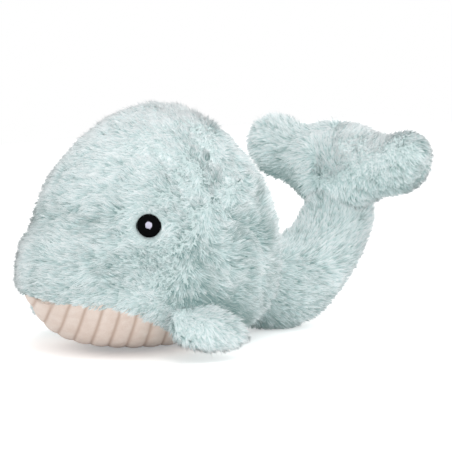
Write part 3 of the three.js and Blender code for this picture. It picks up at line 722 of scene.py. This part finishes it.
stitch_pitch = 0.0005
pad_bend = 0.15  # twice the radius of the curve that the pads follow
highlight_lift, highlight_forward = 0.0015, 0.0006
thread_looks = {}
for name, colour, other_colour, roughness in (
    ("black_rayon_thread", 0x060607, 0x0D0D0E, 0.75),
    ("pale_rayon_thread", 0xDFDCEE, 0xC9C6D8, 0.45),
):
    looks, tree = blank_material(name)
    place = put(tree, "ShaderNodeTexCoord")
    plies = put(tree, "ShaderNodeTexNoise", {"Scale": 2600.0, "Detail": 2.0}, Vector=place.outputs["Object"])
    worn = mixed(tree, linear(colour), linear(other_colour), plies.outputs["Fac"])
    bump = bumped(tree, plies.outputs["Fac"], strength=0.3, distance=0.0001)
    finish_surface(tree, {"Roughness": roughness, "Specular IOR Level": 0.04}, Base_Color=worn, Normal=bump)
    thread_looks[name] = looks


def stitched_patch(name, node, eye, half_wide, half_high, level, material, seed):
    """Rows of satin stitches on a low pad, on the body's surface at an eye."""
    chance = np.random.default_rng(seed)
    patch = bmesh.new()
    bmesh.ops.create_uvsphere(patch, u_segments=40, v_segments=20, radius=1)
    ball = patch.verts[:] + patch.edges[:] + patch.faces[:]
    cut = bmesh.ops.bisect_plane(
        patch, geom=ball, plane_co=(0, 0, 0), plane_no=(0, 0, -1), clear_outer=True
    )
    rim = [edge for edge in cut["geom_cut"] if isinstance(edge, bmesh.types.BMEdge)]
    bmesh.ops.edgeloop_fill(patch, edges=rim)
    bmesh.ops.scale(patch, vec=(half_wide * 0.93, half_high * 0.93, level), verts=patch.verts)
    row = -half_wide + stitch_pitch * 0.6
    while row < half_wide - stitch_pitch * 0.4:
        reach = half_high * math.sqrt(max(1 - (row / half_wide) ** 2, 0.02)) + chance.uniform(-0.0006, 0.0004)
        stitch = bmesh.ops.create_uvsphere(patch, u_segments=6, v_segments=8, radius=1)["verts"]
        bmesh.ops.rotate(patch, verts=stitch, matrix=Matrix.Rotation(math.pi / 2, 3, "X"))
        size = (stitch_pitch * 0.62, max(reach, 0.0004), stitch_pitch * 0.5)
        bmesh.ops.scale(patch, vec=size, verts=stitch)
        for v in stitch:
            dome = math.sqrt(max(1 - (row / half_wide) ** 2 - (v.co.y / half_high) ** 2, 0))
            v.co.z += level * dome
        slide = Vector((row + chance.uniform(-0.00008, 0.00008), chance.uniform(-0.0003, 0.0003), 0))
        bmesh.ops.translate(patch, vec=slide, verts=stitch)
        row += stitch_pitch
    for v in patch.verts:
        v.co.z -= (v.co.x**2 + v.co.y**2) / pad_bend
    out = Vector(body_normal(eye[None])[0])
    high = (Vector((0, 0, 1)) - out * out.z).normalized()
    turn = Matrix((high.cross(out), high, out)).transposed().to_4x4()
    bmesh.ops.transform(patch, matrix=Matrix.Translation(Vector(eye)) @ turn, verts=patch.verts)
    mesh = bpy.data.meshes.new(name)
    patch.to_mesh(mesh)
    patch.free()
    mesh.shade_smooth()
    mesh.materials.append(material)
    piece = bpy.data.objects.new(name, mesh)
    scene.collection.objects.link(piece)
    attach(piece, "body")
    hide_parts(node)


for i, side in enumerate(("left", "right")):
    stitched_patch(
        f"eye_{side}_black",
        f"eye_{side}_pupil",
        eye_centres[i],
        half_wide=eye_radius,
        half_high=eye_radius,
        level=0.0016,
        material=thread_looks["black_rayon_thread"],
        seed=31 + i,
    )
    raised = eye_centres[i] + body_normal(eye_centres[i][None])[0] * highlight_lift
    stitched_patch(
        f"eye_{side}_light",
        f"eye_{side}_highlight",
        raised + np.array([-highlight_forward, 0, 0]),
        half_wide=0.0023,
        half_high=0.0025,
        level=0.0008,
        material=thread_looks["pale_rayon_thread"],
        seed=41 + i,
    )

# Tail
# A stuffed tube of two fur panels, sewn above and below, set on the back of the body. It runs back along
# the floor and curls up to the fluke, with its pile brushed from the root to the tip.

# The tail's middle line, as shares of how far it goes back and how far it rises.
tail_shares = np.array([(0, 0), (0.18, 0), (0.37, 0.08), (0.57, 0.25), (0.76, 0.48), (0.91, 0.74), (1, 1)])
tail_root_x, tail_back, tail_root_height, tail_rise = 0.057623, 0.0635, 0.0315, 0.0475
back, up = (np.interp(np.linspace(0, 6, 49), range(7), shares) for shares in tail_shares.T)
tail_spine = np.stack([tail_root_x + tail_back * back, 0 * back, tail_root_height + tail_rise * up], 1)


def tail_comb(points, normals):
    x, z = points[:, 0], points[:, 2]
    nearest = np.linalg.norm(points[:, None] - tail_spine[None], axis=2).argmin(1)
    heading = np.gradient(tail_spine, axis=0)
    for _ in range(6):
        heading[1:-1] = (heading[:-2] + heading[1:-1] + heading[2:]) / 3
    ways = normalised(heading)[nearest]
    ways = ways + np.array([0, 0, -0.25]) + 0.3 * wander(points, 0.03, 50)
    stand = 0.4 + 0.13 * ripple(points, 0.035, 53) + 0.09 * ripple(points, 0.012, 54)
    stand = np.clip(stand, 0, 1)
    # Painted shade makes it darkest low on the root and at the crease below the fluke, and darker where it
    # stands up and underneath; painted light makes it paler higher up.
    light = 1.02 - 0.65 * stand - 0.25 * smooth_step(z, 0.078, 0.09)
    light = light + 0.07 * ripple(points, 0.03, 55) + 0.12 * np.minimum(normals[:, 2], 0)
    root_shade = np.exp(-(((x - 0.038) / 0.024) ** 2))
    light = light - 0.5 * root_shade * smooth_step(-z, -0.018, -0.004)
    light = light - 0.25 * root_shade * smooth_step(-z, -0.06, -0.03) + 0.16 * smooth_step(z, 0.04, 0.065)
    return ways, stand, light, np.ones(len(points))


for side in ("left", "right"):
    sewn_piece(f"tail_{side}", f"tail_panel_{side}", "tail", backing, thinner=cloth_trim)
tail_form = coat_form(("tail_panel_left", "tail_panel_right", "tail_stuffing"))
furred = open_faces(tail_form, ("body_side_panel_left", "body_side_panel_right", "belly_panel"))
furred &= open_faces(tail_form, ("fluke_front_panel", "fluke_back_panel"), gap=0.0018)
centres = tail_form[0][tail_form[2]].mean(1)
for side, sign in (("left", -1), ("right", 1)):
    zone = furred & (centres[:, 1] * sign >= 0)
    name = f"tail_fur_{side}"
    lay_fur(name, tail_form, zone, "tail", tail_comb, long=0.0095, from_above=0.4, seed=60 + sign)

# Fluke
# Two fur panels cut to the two-lobed outline and sewn together round it, stuffed softly, and stitched
# across the top of the tail so that it can fold there. The pile runs out to the tip of each lobe.


def fluke_comb(points, normals):
    y, z = points[:, 1], points[:, 2]
    out = np.tanh(y / 0.03)
    ways = np.stack([0 * y + 0.1, out, 0.35 * (1 - np.abs(out)) - 0.35 * np.abs(out)], 1)
    low = smooth_step(-z, -0.108, -0.092) * np.exp(-((y / 0.035) ** 2))
    ways = ways * (1 - 0.7 * low)[:, None] + np.array([-0.2, 0, -1.0]) * low[:, None]
    ways = ways + 0.35 * wander(points, 0.03, 70)
    stand = 0.42 + 0.11 * ripple(points, 0.03, 73) + 0.1 * ripple(points, 0.011, 74)
    stand = np.clip(stand - 0.28 * smooth_step(-y, -0.015, 0.02) * smooth_step(z, 0.108, 0.125), 0, 1)
    # Painted shade makes the right lobe dark underneath and the left one dark at its tip, and darkens it
    # where it stands up and on undersides. Painted light makes the top paler, most near the middle.
    light = 1.14 - 0.7 * stand + 0.2 * smooth_step(z, 0.115, 0.13)
    light = light + 0.07 * ripple(points, 0.03, 75) + 0.08 * np.minimum(normals[:, 2], 0)
    light = light - 0.8 * smooth_step(-z, -0.118, -0.1) * smooth_step(y, 0.012, 0.035)
    light = light - 0.4 * smooth_step(-y, 0.045, 0.075) - 0.1 * smooth_step(y, 0.0, 0.03)
    painted_top_light = smooth_step(z, 0.105, 0.125) * smooth_step(-y, -0.01, 0.02) * smooth_step(y, -0.065, -0.04)
    return ways, stand, light + 0.3 * painted_top_light, np.ones(len(points))


for face in ("front", "back"):
    sewn_piece(f"fluke_{face}", f"fluke_{face}_panel", "fluke", backing, thinner=cloth_trim)
fluke_form = coat_form(("fluke_front_panel", "fluke_back_panel", "fluke_stuffing"))
furred = open_faces(fluke_form, ("tail_panel_left", "tail_panel_right"), gap=0.0018)
centres = fluke_form[0][fluke_form[2]].mean(1)
for side, sign in (("left", -1), ("right", 1)):
    zone = furred & (centres[:, 1] * sign >= 0)
    name = f"fluke_fur_{side}"
    lay_fur(name, fluke_form, zone, "fluke", fluke_comb, long=0.009, from_above=1.0, seed=80 + sign)

# Flippers
# Each is a small oval of two fur panels, lightly stuffed and sewn to the body along its root, so it droops
# and flaps. The pile runs out from the root and makes a long fringe at the edge.

for side, sign in (("left", -1), ("right", 1)):
    flipper = f"flipper_{side}"

    def flipper_comb(points, normals, sign=sign):
        ways = normalised(points - points.mean(0) + np.array([0.004, sign * 0.014, -0.012]))
        ways = ways + np.array([0.25, sign * 0.15, -0.2])
        ways = ways + 0.3 * wander(points, 0.02, 90)
        stand = np.clip(0.18 + 0.15 * ripple(points, 0.02, 93), 0, 1)
        # Painted shade where the pile stands up and on the flipper's underside.
        light = 1.07 - 0.6 * stand + 0.07 * ripple(points, 0.02, 94) + 0.12 * np.minimum(normals[:, 2], 0)
        return ways, stand, light, np.ones(len(points))

    for face in ("upper", "under"):
        sewn_piece(
            f"{flipper}_{face}",
            f"{flipper}_{face}_panel",
            flipper,
            backing,
            voxel=0.0015,
            passes=3,
            thinner=cloth_trim,
        )
    nodes = [f"{flipper}_{part}" for part in ("upper_panel", "under_panel", "stuffing")]
    form = coat_form(nodes, voxel=0.0018, passes=4)
    furred = open_faces(form, (f"body_side_panel_{side}", "belly_panel"))
    name = f"flipper_fur_{side}"
    lay_fur(name, form, furred, flipper, flipper_comb, long=0.009, from_above=0.7, seed=100 + sign)

# Filling
# Siliconised polyester fibre, blown in and packed by hand, so its surface is lumpy and matted. It is
# hidden by the cloth unless a seam is opened.

fibre, tree = blank_material("polyester_fibre_fill")
place = put(tree, "ShaderNodeTexCoord")
tangle = {"Scale": 420.0, "Detail": 5.0, "Distortion": 1.2}
strands = put(tree, "ShaderNodeTexNoise", tangle, Vector=place.outputs["Object"])
white = mixed(tree, linear(0xDEDDD6), linear(0xF8F8F4), strands.outputs["Fac"])
bump = bumped(tree, strands.outputs["Fac"], strength=0.6, distance=0.0008)
finish_surface(tree, {"Roughness": 0.95, "Sheen Weight": 0.2}, Base_Color=white, Normal=bump)
lump_height = 0.00025


def matted(points):
    """Lumpy filling; in the body, the only one this long, it follows the cloth's dents."""
    if np.ptp(points[:, 0]) > body_half_length:
        points = body_dents(points)
    return points + lump_height * wander(points, 0.009, 110)


for body in ("body", "tail", "fluke", "flipper_left", "flipper_right"):
    name, node = f"{body}_filling", f"{body}_stuffing"
    sewn_piece(name, node, body, fibre, voxel=0.003, passes=3, shaped=matted)
